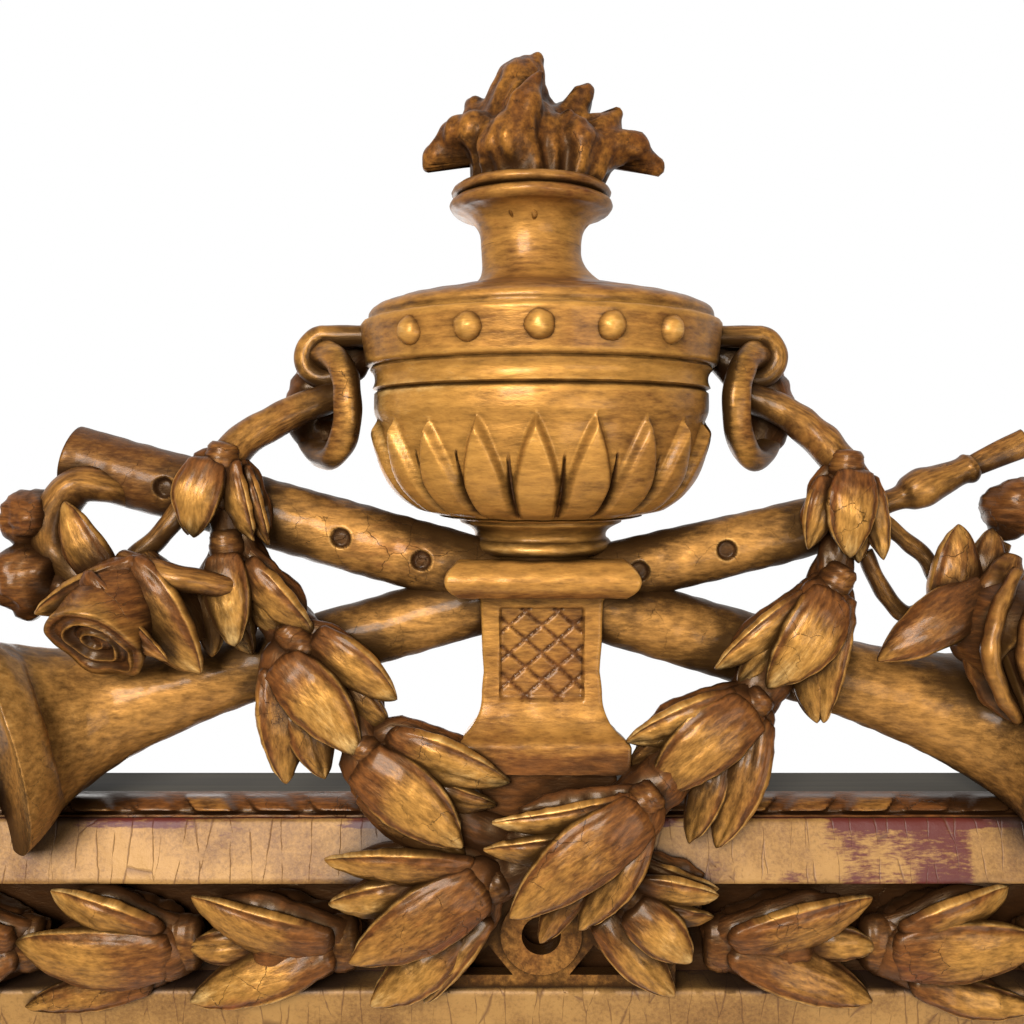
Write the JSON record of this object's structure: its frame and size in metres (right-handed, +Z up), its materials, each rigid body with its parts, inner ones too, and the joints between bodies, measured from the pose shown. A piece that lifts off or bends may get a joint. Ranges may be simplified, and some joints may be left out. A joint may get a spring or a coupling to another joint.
{
  "type": "wall mirror",
  "caption": "Tall rectangular giltwood wall mirror whose carved crest has a flaming urn on a pedestal, crossed shawms, roses and laurel garlands.",
  "frame": {"origin": "centre of the middle backboard's back face, on the wall plane", "axes": "+Z up, +Y into the wall, +X to the viewer's right as one faces the mirror"},
  "size_m": [0.76, 0.0991, 1.3645],
  "materials": {
    "water_gilt_limewood": "worn water gilding over red bole",
    "carcass_pine": "old bare pine, darkened",
    "forged_iron": "dark forged iron",
    "mirror_glass": "silvered plate glass"
  },
  "bodies": {
    "mirror": {"backboard_left": "carcass_pine", "backboard_middle": "carcass_pine", "backboard_nails": "forged_iron", "backboard_right": "carcass_pine", "branch_left": "water_gilt_limewood", "branch_right": "water_gilt_limewood", "carcass_rail_bottom": "carcass_pine", "carcass_rail_top": "carcass_pine", "carcass_stile_left": "carcass_pine", "carcass_stile_right": "carcass_pine", "corner_pegs": "carcass_pine", "crest_strap": "forged_iron", "frieze_plaque": "water_gilt_limewood", "garland_left_1": "water_gilt_limewood", "garland_left_2": "water_gilt_limewood", "garland_left_3": "water_gilt_limewood", "garland_left_4": "water_gilt_limewood", "garland_left_5": "water_gilt_limewood", "garland_right_1": "water_gilt_limewood", "garland_right_2": "water_gilt_limewood", "garland_right_3": "water_gilt_limewood", "garland_right_4": "water_gilt_limewood", "garland_right_5": "water_gilt_limewood", "glazing_blocks": "carcass_pine", "hanger_plate_left": "forged_iron", "hanger_plate_right": "forged_iron", "laurel_bottom_left": "water_gilt_limewood", "laurel_bottom_right": "water_gilt_limewood", "laurel_left": "water_gilt_limewood", "laurel_right": "water_gilt_limewood", "laurel_top_left": "water_gilt_limewood", "laurel_top_right": "water_gilt_limewood", "mirror_glass": "mirror_glass", "moulding_bottom": "water_gilt_limewood", "moulding_left": "water_gilt_limewood", "moulding_right": "water_gilt_limewood", "moulding_top": "water_gilt_limewood", "mouthpiece_right": "water_gilt_limewood", "pedestal": "water_gilt_limewood", "pipe_lower_left": "water_gilt_limewood", "pipe_lower_right": "water_gilt_limewood", "pipe_upper_left": "water_gilt_limewood", "pipe_upper_right": "water_gilt_limewood", "rose_left": "water_gilt_limewood", "rose_right": "water_gilt_limewood", "sight_slip_bottom": "water_gilt_limewood", "sight_slip_left": "water_gilt_limewood", "sight_slip_right": "water_gilt_limewood", "sight_slip_top": "water_gilt_limewood", "urn_bowl": "water_gilt_limewood", "urn_flame": "water_gilt_limewood", "urn_foot": "water_gilt_limewood", "urn_handle_left": "water_gilt_limewood", "urn_handle_right": "water_gilt_limewood", "urn_neck": "water_gilt_limewood", "urn_rim": "water_gilt_limewood", "urn_shoulder": "water_gilt_limewood", "wood_screws": "forged_iron"},
    "ring_left": {"hanging_ring_left": "forged_iron"},
    "ring_right": {"hanging_ring_right": "forged_iron"}
  },
  "joints": [
    {"name": "ring_left_swing", "type": "hinge", "parent": "mirror", "child": "ring_left", "pos_m": [-0.342, -0.004, 0.27], "axis": [1, 0, 0], "range_deg": [0, 180]},
    {"name": "ring_right_swing", "type": "hinge", "parent": "mirror", "child": "ring_right", "pos_m": [0.342, -0.004, 0.27], "axis": [1, 0, 0], "range_deg": [0, 180]}
  ]
}
